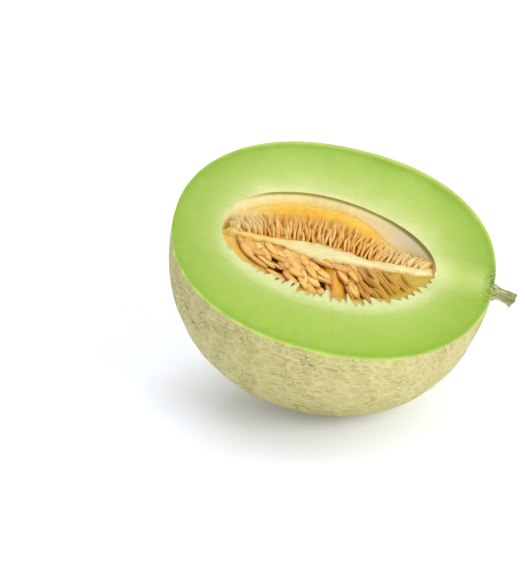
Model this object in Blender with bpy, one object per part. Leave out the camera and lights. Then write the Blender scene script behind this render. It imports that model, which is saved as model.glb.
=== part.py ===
"""Half of a green-fleshed muskmelon, cut from stem end to blossom end, lying on its netted rind.

Metres, +Z up. The origin is the middle of the small flat spot that the fruit rests on.
Everything is modelled in the fruit's own frame and hung on one empty that tips it into place:
    +X of the fruit frame runs along the fruit to the stem,
    +Z of the fruit frame stands square on the cut face,
    -Y of the fruit frame is the near side, which the cut face is tipped towards.
"""

import math
import random

import bmesh
import bpy
from mathutils import Matrix, Vector

# The whole fruit
HALF_LENGTH = 0.0735
HALF_WIDTH = 0.0762
DEPTH = 0.0715
SQUARENESS = 2.18
STEM_END_SWELL = 0.010
TIP_TO_FRONT = math.radians(15.0)
STEM_END_DOWN = math.radians(12.0)
FLAT_SPOT_CUT = 0.0026

# The raised net on the rind
NET_CELL_LENGTH = 0.0128
NET_CELL_WIDTH = 0.0064
NET_JITTER = 0.24
NET_RIDGE_HALF_WIDTH = 0.0010
NET_RIDGE_HEIGHT = 0.0008
NET_SHORTEST_EDGE = 0.0017

# The seed cavity
CAVITY_HALF_LENGTH = 0.0492
CAVITY_HALF_WIDTH = 0.0369
CAVITY_DEPTH = 0.0360
CAVITY_TO_BLOSSOM = 0.050
CAVITY_TO_NEAR = 0.062
CAVITY_SKEW = 0.027
CAVITY_SEGMENTS = 128
CAVITY_RINGS = 6
TOOTH_LENGTH = 0.0038
TOOTH_FADE_DEPTH = 0.0070
CUT_MARGIN = 0.012

# The pale core and the two beds of seeds
GAP = 0.0004
PULP_INSET = 0.0011
SEED_INSET = 0.0008
PULP_FLOOR_GAP = 0.0016
PULP_SEGMENTS = 36
PULP_RINGS = 6
LID_RINGS = 5
CORE_MIDDLE = -0.0072
CORE_RISE_AT_STEM = 0.0065
CORE_WIDEST = -0.0045
CORE_SWELL_LENGTH = 0.0130
CORE_HALF_WIDTH = 0.0057
CORE_END_HALF_WIDTH = 0.0025
CORE_STATIONS = 18
PARTING_TURN = math.radians(3.2)
PARTING_MIDDLE = -0.0059
CREST_HEIGHT = 0.0010
FAR_DROP = 0.0085
FAR_DIP = 1.05
FAR_DIP_PLACE = 0.0290
FAR_DIP_LENGTH = 0.0150
NEAR_DROP = 0.0052

# One seed
SEED_LENGTH = 0.0116
SEED_WIDTH = 0.0046
SEED_THICKNESS = 0.0017
SEED_SIDES = 8

# The stem
STEM_RADIUS = 0.0023
STEM_FLARE = 0.0031
STEM_LENGTH = 0.0105
STEM_ROOT = 0.0060
STEM_DROP = 0.0038
STEM_BEND = math.radians(24.0)
STEM_RIBS = 5
STEM_RIB_DEPTH = 0.16
STEM_SIDES = 20
STEM_RINGS = 7

COLOURS = {
    "fruit_half": ((0.60, 0.66, 0.22), 0.55),
    "stem": ((0.36, 0.39, 0.16), 0.75),
    "placenta_core": ((0.90, 0.80, 0.42), 0.35),
    "seed_bed_far": ((0.76, 0.46, 0.11), 0.30),
    "seed_bed_near": ((0.74, 0.44, 0.12), 0.30),
}


def clear_scene():
    for obj in list(bpy.data.objects):
        bpy.data.objects.remove(obj)


def node(name, bm, frame):
    """One named object in the fruit frame, with its own material."""
    mesh = bpy.data.meshes.new(name)
    bm.to_mesh(mesh)
    bm.free()
    obj = bpy.data.objects.new(name, mesh)
    bpy.context.scene.collection.objects.link(obj)
    obj.parent = frame
    if name in COLOURS:
        colour, roughness = COLOURS[name]
        material = bpy.data.materials.new(name)
        material.use_nodes = True
        shader = material.node_tree.nodes["Principled BSDF"]
        shader.inputs["Base Color"].default_value = (*colour, 1.0)
        shader.inputs["Roughness"].default_value = roughness
        mesh.materials.append(material)
    return obj


def helper(name, bm, frame):
    """A cutter, which is no piece of the fruit."""
    obj = node(name, bm, frame)
    obj.hide_render = True
    obj.display_type = "WIRE"
    return obj


def boolean(obj, other, operation):
    cut = obj.modifiers.new(operation.lower(), "BOOLEAN")
    cut.operation = operation
    cut.object = other
    cut.solver = "MANIFOLD"


def skin_point(direction):
    """Where the rind lies in a direction from the fruit's middle: a ball a little squarer than round."""
    size = sum(abs(part) ** SQUARENESS for part in direction) ** (1.0 / SQUARENESS)
    x, y, z = direction / size
    girth = 1.0 + STEM_END_SWELL * x
    return Vector((HALF_LENGTH * x, HALF_WIDTH * y * girth, DEPTH * z * girth))


def resting_frame():
    """The empty that tips the fruit and sets its flat spot down on the origin."""
    turn = Matrix.Rotation(STEM_END_DOWN, 4, "Y") @ Matrix.Rotation(TIP_TO_FRONT, 4, "X")
    down = turn.inverted() @ Vector((0.0, 0.0, -1.0))
    halves = Vector((HALF_LENGTH, HALF_WIDTH, DEPTH))
    power = 1.0 / (SQUARENESS - 1.0)
    reach = Vector([math.copysign(abs(half * part) ** power, part) for half, part in zip(halves, down)])
    touch = turn @ skin_point(reach)
    frame = bpy.data.objects.new("fruit_frame", None)
    bpy.context.scene.collection.objects.link(frame)
    height = -touch.z - FLAT_SPOT_CUT
    frame.matrix_world = Matrix.Translation((-touch.x, -touch.y, height)) @ turn
    bpy.context.view_layer.update()
    return frame


def net_directions():
    """Directions of the net's cells: rings round the fruit, each set half a cell on from the last."""
    draw = random.Random(7)
    rings = round(math.pi * HALF_LENGTH / NET_CELL_LENGTH)
    found = [Vector((1.0, 0.0, 0.0)), Vector((-1.0, 0.0, 0.0))]
    for ring in range(1, rings):
        polar = math.pi * ring / rings
        count = max(4, round(math.tau * HALF_WIDTH * math.sin(polar) / NET_CELL_WIDTH))
        for step in range(count):
            turn = math.tau * (step + 0.5 * (ring % 2) + NET_JITTER * draw.uniform(-1, 1)) / count
            tilt = polar + NET_JITTER * draw.uniform(-1, 1) * math.pi / rings
            across = math.sin(tilt)
            found.append(Vector((math.cos(tilt), across * math.cos(turn), across * math.sin(turn))))
    return found


def sunk_corners(face):
    """The corners of a cell's sunk floor: each is drawn in from the cell's own corner, and down."""
    corners = [vert.co.copy() for vert in face.verts]
    middle = sum(corners, Vector()) / len(corners)
    floor = []
    for index, corner in enumerate(corners):
        back = (corners[index - 1] - corner).normalized()
        onward = (corners[(index + 1) % len(corners)] - corner).normalized()
        inward = middle - corner
        split = back + onward
        if split.length < 0.05 or split.dot(inward) < 0.0:
            split = inward.copy()
        split.normalize()
        slant = max(0.4, back.cross(split).length)
        step = min(NET_RIDGE_HALF_WIDTH / slant, 0.42 * inward.length)
        floor.append(corner + split * step - face.normal * NET_RIDGE_HEIGHT)
    return floor


def netted_skin():
    """The whole closed skin, with a raised ridge along every line of the net."""
    bm = bmesh.new()
    for direction in net_directions():
        bm.verts.new(direction)
    bmesh.ops.convex_hull(bm, input=bm.verts)
    hull_verts = list(bm.verts)
    hull_edges = list(bm.edges)
    bmesh.ops.poke(bm, faces=bm.faces)
    bmesh.ops.rotate_edges(bm, edges=hull_edges)
    bmesh.ops.dissolve_verts(bm, verts=hull_verts)
    for vert in bm.verts:
        vert.co = skin_point(vert.co.normalized())
    bmesh.ops.remove_doubles(bm, verts=bm.verts, dist=NET_SHORTEST_EDGE)
    bmesh.ops.recalc_face_normals(bm, faces=bm.faces)
    cells = list(bm.faces)
    for cell in cells:
        outer = list(cell.verts)
        inner = [bm.verts.new(point) for point in sunk_corners(cell)]
        for index in range(len(outer)):
            after = (index + 1) % len(outer)
            bm.faces.new((outer[index], outer[after], inner[after], inner[index]))
        bm.faces.new(inner)
    bmesh.ops.delete(bm, geom=cells, context="FACES_ONLY")
    bmesh.ops.triangulate(bm, faces=bm.faces)
    bmesh.ops.recalc_face_normals(bm, faces=bm.faces)
    return bm


def cut_flat(bm, point, outward):
    """Cuts the solid by a plane, takes away what lies on its outward side and closes the cut."""
    everything = list(bm.verts) + list(bm.edges) + list(bm.faces)
    bmesh.ops.bisect_plane(
        bm, geom=everything, dist=1e-7, plane_co=point, plane_no=outward, clear_outer=True
    )
    rim = [edge for edge in bm.edges if edge.is_boundary]
    bmesh.ops.triangle_fill(bm, edges=rim, use_beauty=True, use_dissolve=True, normal=outward)


def cavity_radius(turn, depth, inset, tooth):
    """The cavity's radius at an angle round its middle and a depth under the cut face."""
    shrink = math.sqrt(max(0.0, 1.0 - (depth / CAVITY_DEPTH) ** 2))
    along = CAVITY_HALF_LENGTH * math.sin(turn)
    across = CAVITY_HALF_WIDTH * math.cos(turn)
    radius = shrink * CAVITY_HALF_LENGTH * CAVITY_HALF_WIDTH / math.hypot(across, along)
    lean = CAVITY_TO_BLOSSOM * math.cos(turn) + CAVITY_TO_NEAR * math.sin(turn)
    radius *= 1.0 - lean - CAVITY_SKEW * math.sin(2 * turn)
    near = max(0.0, -math.sin(turn)) ** 0.5
    fade = max(0.0, 1.0 - depth / TOOTH_FADE_DEPTH)
    return radius - inset - tooth * near * fade


def closed_body(rings, top, bottom):
    """A body from a stack of rings of points, each end of it closed to one point."""
    bm = bmesh.new()
    made = [[bm.verts.new(point) for point in ring] for ring in rings]
    count = len(made[0])
    for upper, lower in zip(made, made[1:]):
        for step in range(count):
            after = (step + 1) % count
            bm.faces.new((upper[step], lower[step], lower[after], upper[after]))
    for ring, point in ((made[0], top), (made[-1], bottom)):
        pole = bm.verts.new(point)
        for step in range(count):
            bm.faces.new((ring[step], ring[(step + 1) % count], pole))
    bmesh.ops.recalc_face_normals(bm, faces=bm.faces)
    return bm


def cavity_cutter(frame):
    """The space of the seed cavity. Every other point of its near rim is drawn in: that leaves teeth of flesh."""
    rings = []
    for ring in range(-1, CAVITY_RINGS):
        depth = -CUT_MARGIN if ring < 0 else CAVITY_DEPTH * math.sin(math.pi / 2 * ring / CAVITY_RINGS)
        points = []
        for step in range(CAVITY_SEGMENTS):
            turn = math.tau * step / CAVITY_SEGMENTS
            tooth = TOOTH_LENGTH if step % 2 else 0.0
            radius = cavity_radius(turn, max(0.0, depth), 0.0, tooth)
            points.append(Vector((radius * math.cos(turn), radius * math.sin(turn), -depth)))
        rings.append(points)
    bm = closed_body(rings, (0.0, 0.0, CUT_MARGIN), (0.0, 0.0, -CAVITY_DEPTH))
    return helper("cavity_cutter", bm, frame)


def fruit_half(frame):
    """Rind and flesh, which grew as one: netted outside, cut flat on top, hollow in the middle."""
    bm = netted_skin()
    cut_flat(bm, Vector((0.0, 0.0, 0.0)), Vector((0.0, 0.0, 1.0)))
    to_fruit = frame.matrix_world.inverted()
    down = to_fruit.to_3x3() @ Vector((0.0, 0.0, -1.0))
    cut_flat(bm, to_fruit @ Vector((0.0, 0.0, 0.0)), down)
    bmesh.ops.recalc_face_normals(bm, faces=bm.faces)
    fruit = node("fruit_half", bm, frame)
    boolean(fruit, cavity_cutter(frame), "DIFFERENCE")
    boolean(fruit, stem_socket(frame), "DIFFERENCE")


def stem_mesh(grow, root, flare):
    """A ribbed stub along a gently bent path. grow is added to its radius, all the way along."""
    bm = bmesh.new()
    rings = []
    for ring in range(STEM_RINGS + 1):
        share = ring / STEM_RINGS
        along = -root + (root + STEM_LENGTH) * share
        bend = STEM_BEND * max(0.0, along) / STEM_LENGTH
        middle = Vector((
            HALF_LENGTH + along - 0.5 * abs(along) * bend * math.sin(bend) * (along > 0),
            0.0,
            -STEM_DROP - 0.5 * max(0.0, along) * math.sin(bend),
        ))
        swell = (flare - STEM_RADIUS) * max(0.0, along / STEM_LENGTH) ** 3
        tilt = Matrix.Rotation(bend, 3, "Y")
        points = []
        for side in range(STEM_SIDES):
            turn = math.tau * side / STEM_SIDES
            rib = 1.0 + STEM_RIB_DEPTH * math.cos(STEM_RIBS * turn)
            radius = (STEM_RADIUS + swell) * (rib if grow == 0.0 else 1.0 + STEM_RIB_DEPTH) + grow
            offset = Vector((0.0, radius * math.cos(turn), radius * math.sin(turn)))
            points.append(bm.verts.new(middle + tilt @ offset))
        rings.append(points)
    for first, second in zip(rings, rings[1:]):
        for side in range(STEM_SIDES):
            following = (side + 1) % STEM_SIDES
            bm.faces.new((first[side], first[following], second[following], second[side]))
    bm.faces.new(rings[0])
    bm.faces.new(rings[-1])
    bmesh.ops.recalc_face_normals(bm, faces=bm.faces)
    return bm


def stem_socket(frame):
    """The plain hole in the stem end of the fruit that the stem's root stands in."""
    return helper("stem_socket", stem_mesh(GAP, STEM_ROOT + GAP, STEM_FLARE), frame)


def stem(frame):
    bm = stem_mesh(0.0, STEM_ROOT, STEM_FLARE)
    obj = node("stem", bm, frame)
    obj.data.shade_smooth()


def core_middle(x):
    """The line that the pale core follows along the fruit: it swings to the far side at the stem end."""
    return CORE_MIDDLE + CORE_RISE_AT_STEM * max(0.0, x / CAVITY_HALF_LENGTH) ** 3


def core_half_width(x):
    """Half the width of the pale core at a place along the fruit: a narrow band with one wide stretch."""
    swell = math.exp(-(((x - CORE_WIDEST) / CORE_SWELL_LENGTH) ** 2))
    return CORE_END_HALF_WIDTH + (CORE_HALF_WIDTH - CORE_END_HALF_WIDTH) * swell


def pulp_height(x, y):
    """The top of what fills the cavity: a crest along the core, sloping to the near rim and to the far wall."""
    span = CAVITY_HALF_WIDTH * math.sqrt(max(0.0, 1.0 - (x / CAVITY_HALF_LENGTH) ** 2))
    middle = core_middle(x)
    half = core_half_width(x)
    if y > middle + half:
        width = span * (1.0 - CAVITY_TO_NEAR) - middle - half
        share = min(1.0, (y - middle - half) / max(0.004, width))
        dip = 1.0 + FAR_DIP * math.exp(-(((x - FAR_DIP_PLACE) / FAR_DIP_LENGTH) ** 2))
        return CREST_HEIGHT - FAR_DROP * dip * share**1.5
    width = span * (1.0 + CAVITY_TO_NEAR) + middle - half
    share = min(1.0, max(0.0, middle - half - y) / max(0.004, width))
    return CREST_HEIGHT - NEAR_DROP * share**1.6


def pulp_body(inset, lid=None):
    """What fills the cavity, an inset clear of its wall and of the teeth. lid is a flat top's height, if it has one."""
    floor = CAVITY_DEPTH - PULP_FLOOR_GAP
    columns = []
    for step in range(PULP_SEGMENTS):
        turn = math.tau * step / PULP_SEGMENTS

        def place(depth, share=1.0):
            deeper = max(0.0, depth) * CAVITY_DEPTH / floor
            wall = cavity_radius(turn, deeper, inset, 0.0)
            clear_of_teeth = cavity_radius(turn, 0.6 * deeper, inset, 1.05 * TOOTH_LENGTH)
            radius = share * max(0.0, min(wall, clear_of_teeth))
            return radius * math.cos(turn), radius * math.sin(turn)

        def top(x, y):
            return pulp_height(x, y) if lid is None else lid

        rim_depth = -top(*place(0.0))
        column = []
        for ring in range(LID_RINGS - 1, 0, -1):
            x, y = place(rim_depth, 1.0 - ring / LID_RINGS)
            column.append(Vector((x, y, top(x, y))))
        for ring in range(PULP_RINGS):
            depth = rim_depth + (floor - rim_depth) * math.sin(math.pi / 2 * ring / PULP_RINGS)
            x, y = place(depth)
            column.append(Vector((x, y, -depth)))
        columns.append(column)
    rings = [list(ring) for ring in zip(*columns)]
    crown = pulp_height(0.0, 0.0) if lid is None else lid
    return closed_body(rings, (0.0, 0.0, crown), (0.0, 0.0, -floor))


def core_prism(name, frame, grow, half_length):
    """An upright band along the core, which the core is cut to and the beds are cut back from."""
    bm = bmesh.new()
    stations = [half_length * (2 * step / CORE_STATIONS - 1) for step in range(CORE_STATIONS + 1)]
    outline = [Vector((x, core_middle(x) + core_half_width(x) + grow, 0.0)) for x in stations]
    outline += [Vector((x, core_middle(x) - core_half_width(x) - grow, 0.0)) for x in reversed(stations)]
    lower = [bm.verts.new(point - Vector((0, 0, 2 * CAVITY_DEPTH))) for point in outline]
    upper = [bm.verts.new(point + Vector((0, 0, 2 * CUT_MARGIN))) for point in outline]
    for step in range(len(outline)):
        after = (step + 1) % len(outline)
        bm.faces.new((lower[step], lower[after], upper[after], upper[step]))
    bm.faces.new(lower)
    bm.faces.new(upper)
    bmesh.ops.recalc_face_normals(bm, faces=bm.faces)
    return helper(name, bm, frame)


def placenta_core(frame):
    """The pale core between the two beds, as deep as the cavity and just proud of the cut face."""
    core = node("placenta_core", pulp_body(PULP_INSET), frame)
    boolean(core, core_prism("core_outline", frame, 0.0, CAVITY_HALF_LENGTH), "INTERSECT")


def seed_mesh():
    """One seed: a flat drop with its point towards +X, its face square to Z."""
    bm = bmesh.new()
    outline = []
    for side in range(SEED_SIDES):
        turn = math.tau * side / SEED_SIDES
        narrowing = 1.0 - 0.28 * math.cos(turn)
        x = 0.5 * SEED_LENGTH * math.cos(turn)
        y = 0.5 * SEED_WIDTH * math.sin(turn) * narrowing
        outline.append(bm.verts.new((x, y, 0.0)))
    for height in (0.5 * SEED_THICKNESS, -0.5 * SEED_THICKNESS):
        pole = bm.verts.new((-0.06 * SEED_LENGTH, 0.0, height))
        for side in range(SEED_SIDES):
            bm.faces.new((outline[side], outline[(side + 1) % SEED_SIDES], pole))
    bmesh.ops.recalc_face_normals(bm, faces=bm.faces)
    mesh = bpy.data.meshes.new("seed")
    bm.to_mesh(mesh)
    bm.free()
    return mesh


def inside_cavity(point, margin):
    """Whether a point on the pulp's top stays a margin inside the cavity's rim."""
    turn = math.atan2(point.y, point.x)
    return math.hypot(point.x, point.y) < cavity_radius(turn, 0.0, margin, 0.0)


def seed_places_far():
    """Seeds stacked edge up like a comb, in two rows down the far slope and a few beyond."""
    draw = random.Random(11)
    rows = ((0.0064, 0.0037, 0.0011), (0.0160, 0.0038, 0.0011), (0.0245, 0.0070, 0.0014))
    for row, (behind, pitch, sink) in enumerate(rows):
        count = round(2 * CAVITY_HALF_LENGTH / pitch)
        for step in range(count):
            share = 2 * (step + 0.5 + 0.35 * (row % 2) + draw.uniform(-0.2, 0.2)) / count - 1
            x = CAVITY_HALF_LENGTH * share
            y = core_middle(x) + core_half_width(x) + behind * (1.0 - 0.45 * share**2)
            y += draw.uniform(-0.0008, 0.0008)
            middle = Vector((x, y, pulp_height(x, y) - sink + draw.uniform(0.0, 0.0006)))
            spread = draw.uniform(-0.16, 0.10) - 0.25 * share
            if not inside_cavity(middle, 0.0055):
                continue
            ahead = pulp_height(x, y + 0.003) - pulp_height(x, y - 0.003)
            long_way = Vector((spread * 0.006, 0.006, ahead)).normalized()
            face_way = Vector((1.0, 0.0, 0.0)) - long_way * long_way.x
            spin = Matrix.Rotation(math.radians(draw.uniform(-24, 24)), 3, long_way)
            yield middle, long_way, spin @ face_way.normalized()


def seed_places_near():
    """Seeds tumbled over the near slope: face up on the blossom side, turning edge up towards the stem."""
    draw = random.Random(23)
    for row, ahead in enumerate((0.0056, 0.0120, 0.0184, 0.0248)):
        pitch = 0.0049
        count = round(2 * CAVITY_HALF_LENGTH / pitch)
        for step in range(count):
            share = 2 * (step + 0.5 + 0.5 * (row % 2) + draw.uniform(-0.28, 0.28)) / count - 1
            x = CAVITY_HALF_LENGTH * share
            y = core_middle(x) - core_half_width(x) - ahead * (1.0 - 0.20 * share**2)
            y += draw.uniform(-0.0014, 0.0014)
            stem_side = 0.5 + 0.5 * share
            lift = draw.uniform(0.0002, 0.0010) - 0.0012 * stem_side
            heading = math.radians(-66 + 20 * stem_side + draw.uniform(-24, 24))
            edge_up = math.radians(8 + 62 * stem_side + draw.uniform(-16, 16))
            middle = Vector((x, y, pulp_height(x, y) + lift))
            if not inside_cavity(middle, 0.0070):
                continue
            onward = middle + Vector((0.003 * math.cos(heading), 0.003 * math.sin(heading), 0.0))
            slope = (pulp_height(onward.x, onward.y) - pulp_height(x, y)) / 0.003
            rise = slope + draw.uniform(0.02, 0.14)
            long_way = Vector((math.cos(heading), math.sin(heading), rise)).normalized()
            level = Vector((0, 0, 1)) - long_way * long_way.z
            face_way = Matrix.Rotation(edge_up, 3, long_way) @ level.normalized()
            yield middle, long_way, face_way


def add_seeds(bed, places):
    """Fuses the seeds into their bed: one union, applied, after which the loose seeds go."""
    mesh = seed_mesh()
    group = bpy.data.collections.new(bed.name + "_seeds")
    bpy.context.scene.collection.children.link(group)
    for middle, long_way, face_way in places:
        side_way = face_way.cross(long_way).normalized()
        turn = Matrix((long_way, side_way, long_way.cross(side_way))).transposed().to_4x4()
        seed = bpy.data.objects.new("seed", mesh)
        group.objects.link(seed)
        seed.matrix_world = bed.parent.matrix_world @ Matrix.Translation(middle) @ turn
    union = bed.modifiers.new("seeds", "BOOLEAN")
    union.operation = "UNION"
    union.operand_type = "COLLECTION"
    union.collection = group
    union.solver = "MANIFOLD"
    bpy.context.view_layer.update()
    graph = bpy.context.evaluated_depsgraph_get()
    bed.data = bpy.data.meshes.new_from_object(bed.evaluated_get(graph))
    bed.modifiers.clear()
    for seed in list(group.objects):
        bpy.data.objects.remove(seed)
    bpy.data.collections.remove(group)


def seed_bed(name, side, places, frame):
    """The pulp on one side of the core with its seeds, cut back from the core and from the cavity's wall."""
    bm = pulp_body(PULP_INSET)
    away = Vector((math.sin(PARTING_TURN), -math.cos(PARTING_TURN), 0.0))
    cut_flat(bm, Vector((0.0, PARTING_MIDDLE, 0.0)), side * away)
    bed = node(name, bm, frame)
    add_seeds(bed, places)
    boolean(bed, bpy.data.objects["core_clearance"], "DIFFERENCE")
    boolean(bed, bpy.data.objects["cavity_clearance"], "INTERSECT")


def main():
    clear_scene()
    frame = resting_frame()
    fruit_half(frame)
    stem(frame)
    placenta_core(frame)
    core_prism("core_clearance", frame, GAP, 1.1 * CAVITY_HALF_LENGTH)
    helper("cavity_clearance", pulp_body(SEED_INSET, CUT_MARGIN), frame)
    seed_bed("seed_bed_far", 1.0, seed_places_far(), frame)
    seed_bed("seed_bed_near", -1.0, seed_places_near(), frame)


main()
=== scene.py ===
"""Half of a green-fleshed muskmelon, cut lengthwise, lying on its netted rind on a pale floor.

Lengths are in metres. The fruit's own frame has X towards the stem, Y to the far side and Z up from the cut.
"""

import math
import random

import bmesh
import bpy
from mathutils import Matrix, Vector, noise


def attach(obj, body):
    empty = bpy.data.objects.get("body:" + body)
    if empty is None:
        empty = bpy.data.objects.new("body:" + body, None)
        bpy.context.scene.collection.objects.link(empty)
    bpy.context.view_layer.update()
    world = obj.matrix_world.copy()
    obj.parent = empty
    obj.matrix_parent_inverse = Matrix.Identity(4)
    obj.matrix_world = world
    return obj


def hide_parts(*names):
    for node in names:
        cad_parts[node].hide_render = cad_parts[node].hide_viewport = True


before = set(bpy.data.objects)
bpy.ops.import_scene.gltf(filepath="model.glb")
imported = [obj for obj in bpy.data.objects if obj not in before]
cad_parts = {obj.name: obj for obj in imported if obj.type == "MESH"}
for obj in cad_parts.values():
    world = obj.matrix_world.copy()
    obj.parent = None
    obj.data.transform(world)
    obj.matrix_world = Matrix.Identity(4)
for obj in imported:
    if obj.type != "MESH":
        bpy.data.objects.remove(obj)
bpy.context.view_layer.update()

# The fruit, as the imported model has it
HALF_LENGTH = 0.0735
HALF_WIDTH = 0.0762
DEPTH = 0.0715
SQUARENESS = 2.18
STEM_END_SWELL = 0.010
TIP_TO_FRONT = math.radians(15.0)
STEM_END_DOWN = math.radians(12.0)
FLAT_SPOT_CUT = 0.0026

# The rind. A share is 1 on the skin's ridges and 0 in the middle of the fruit
SKIN_FROM_SHARE = 0.97
SKIN_SHARE_FADE = 0.013
RIND_FACE_SHARE = 0.95
NET_SOFTENED = 0.30
NET_SOFTENED_AT_CUT = 0.45
NET_SOFT_BAND = 0.006
NET_TOP_DEPTH = 0.00028
NET_FADE = 0.00045
RIND_SWELL = 0.00040
RIND_ROUGHNESS = 0.00010
ROUGH_FROM_CUT = 0.004
NET_WANDER = 0.0022
NET_STRETCH = 0.36

# The seed cavity, its teeth of flesh and its wall
CAVITY_HALF_LENGTH = 0.0492
CAVITY_HALF_WIDTH = 0.0369
CAVITY_DEPTH = 0.0360
CAVITY_TO_BLOSSOM = 0.050
CAVITY_TO_NEAR = 0.062
CAVITY_SKEW = 0.027
TOOTH_LENGTH = 0.0070
TOOTH_FADE_DEPTH = 0.0060
TOOTH_COUNT = 64
TOOTH_TIP_DROP = 0.0004
CUT_WAVE = 0.00018
CUT_RINGS = [0.012, 0.05] + [0.05 + 0.95 * step / 13 for step in range(1, 14)]
WALL_RINGS = (
    0.0004, 0.0010, 0.0018, 0.0028, 0.0040, 0.0055, 0.0072, 0.0095, 0.0120,
    0.0150, 0.0185, 0.0225, 0.0260, 0.0290, 0.0315, 0.0335, 0.0350, 0.0358,
)
UNDERCUT = 0.0006
UNDERCUT_DEPTH = 0.0014
UNDERCUT_SPREAD = 0.0012
WALL_UNEVENNESS = 0.0003

# The pale core
CORE_MIDDLE = -0.0072
CORE_RISE_AT_STEM = 0.0065
CORE_WIDEST = -0.0045
CORE_SWELL_LENGTH = 0.0130
CORE_HALF_WIDTH = 0.0057
CORE_END_HALF_WIDTH = 0.0025
CORE_HALF_LENGTH = CAVITY_HALF_LENGTH - 0.0020
CORE_TO_BLOSSOM = 0.0015
CORE_SUNK = 0.0004
CORE_CROWN = 0.0007
CORE_ROOT = 0.012
CORE_END_DIP = 0.0022
CORE_DIP_FROM = 0.0345
CORE_DIP_LENGTH = 0.012
CORE_VOXEL = 0.0006

# The tops of the two beds, from the crest along the core
PARTING_TURN = math.radians(3.2)
PARTING_MIDDLE = -0.0059
CREST_HEIGHT = 0.0010
FAR_DROP = 0.0085
FAR_DIP = 1.05
FAR_DIP_PLACE = 0.0290
FAR_DIP_LENGTH = 0.0150
NEAR_DROP = 0.0040
NARROWEST_SLOPE = 0.004

# The gel between the seeds, and the clear patch of it on the near side
FAR_PULP_INSET = -0.0003
NEAR_PULP_INSET = -0.0015
FAR_GEL_UNDER_SEEDS = 0.0025
NEAR_GEL_UNDER_SEEDS = 0.0027
GEL_HIGH_BY_CORE = 0.0035
FAR_SEEDS_END = 0.016
FAR_SEEDS_FADE = 0.007
FAR_CLIMB = 0.0014
FAR_CLIMB_WIDTH = 0.0050
FAR_GEL_AT_RIM = -0.0038
FAR_GEL_STEEPEST = 0.7
NEAR_GEL_AT_RIM = -0.0012
NEAR_RIM_BAND = 0.0105
NEAR_RIM_FADE = 0.0050
GEL_PATCH = -0.0042
GEL_PATCH_LEAN = 0.36
GEL_PATCH_HALF = 0.0034
GEL_PATCH_RISE_HALF = 0.0050
LUMPS_DEPTH = 0.020
LUMPS_FADE = 0.006
LUMPS_RIM_WIDTH = 0.0110
RIMWARD_WIDTH = 0.0180
STAIN_HEIGHT = 0.0024
PULP_VOXEL = 0.0008

# The seeds. Far rows: how far behind the core, how close together, how deep. Near rows: how far before it
SEED_LENGTH = 0.0116
SEED_WIDTH = 0.0046
SEED_THICKNESS = 0.0019
SEED_NARROWING = 0.20
FAR_SEED_THINNESS = 0.72
FAR_ROWS = (
    (0.0056, 0.0021, 0.0016), (0.0112, 0.0022, 0.0016), (0.0166, 0.0023, 0.0017), (0.0215, 0.0027, 0.0019),
)
FAR_FAN = 0.50
TILED_ROWS = (0.0040, 0.0086, 0.0132, 0.0178, 0.0222, 0.0264)
TILED_PITCH = 0.0043
TILED_END = 0.010
TILED_HEADING = -48.0
PACKED_ROWS = (0.0052, 0.0116, 0.0180, 0.0242)
PACKED_PITCH = 0.0024
PACKED_HEADING = -67.0
PACKED_TURN = 33.0
PACKED_TURN_FROM = 0.003
PACKED_TURN_LENGTH = 0.025
PACKED_SINK = 0.0022
PACKED_SINK_FROM = 0.027
PACKED_SINK_LENGTH = 0.015
FAR_SEED_MARGIN = 0.0045
NEAR_SEED_MARGIN = 0.0066
SLOPE_STEP = 0.003
# Depths below the pulp's top over which sunk seeds darken as painted shade
SUNK_FROM = 0.0006
SUNK_FADE = 0.0030

# The stem
STEM_RADIUS = 0.0023
STEM_FLARE = 0.0031
STEM_LENGTH = 0.0105
STEM_ROOT = 0.0060
STEM_DROP = 0.0038
STEM_BEND = math.radians(24.0)
STEM_RIBS = 5
STEM_RIB_DEPTH = 0.17
STEM_SIDES = 60
STEM_RINGS = 40
STEM_FOOT = 0.0012
STEM_FOOT_LENGTH = 0.0018
STEM_END_HOLLOW = 0.0006

# The photograph's view of the middle of the cut face
CAMERA_DISTANCE = 1.5
CAMERA_AZIMUTH = math.radians(5.7)
CAMERA_ELEVATION = math.radians(22.0)
PIXELS_PER_METRE = 2234.0
PHOTO_SIZE = (525, 584)
FACE_MIDDLE_PIXEL = (334.4, 245.8)
SENSOR = 36.0
CLIP = (0.05, 50.0)

# The floor, darkest under the fruit, and the lights: place, size and power
FLOOR_SIZE = 8.0
FLOOR_COLOUR = (0.83, 0.86, 0.95, 1.0)
FLOOR_GLOW_COLOUR = (0.88, 0.92, 1.0, 1.0)
SHADE_MIDDLE = (-0.027, -0.018, 0.0)
SHADE_START = 0.022
SHADE_END = 0.072
FLOOR_GLOW_IN_SHADE = 0.13
FLOOR_GLOW_MORE = 0.25
LIGHT_ABOVE = ((-0.25, 0.35, 1.5), 1.4, 6.0)
LIGHT_FRONT = ((1.25, -1.0, 0.9), 1.0, 17.0)
ROOM_LIGHT = 0.60

# Points closer than this are one
SAME_POINT = 1e-5


def skin_point(direction):
    """Where the rind lies in a direction from the fruit's middle, in the fruit's own frame."""
    size = sum(abs(part) ** SQUARENESS for part in direction) ** (1.0 / SQUARENESS)
    x, y, z = direction / size
    girth = 1.0 + STEM_END_SWELL * x
    return Vector((HALF_LENGTH * x, HALF_WIDTH * y * girth, DEPTH * z * girth))


def resting_place():
    """From the fruit's own frame, square on the cut face, to where it rests on its flat spot."""
    turn = Matrix.Rotation(STEM_END_DOWN, 4, "Y") @ Matrix.Rotation(TIP_TO_FRONT, 4, "X")
    down = turn.inverted() @ Vector((0.0, 0.0, -1.0))
    halves = Vector((HALF_LENGTH, HALF_WIDTH, DEPTH))
    power = 1.0 / (SQUARENESS - 1.0)
    reach = Vector([math.copysign(abs(half * part) ** power, part) for half, part in zip(halves, down)])
    touch = turn @ skin_point(reach)
    return Matrix.Translation((-touch.x, -touch.y, -touch.z - FLAT_SPOT_CUT)) @ turn


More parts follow.
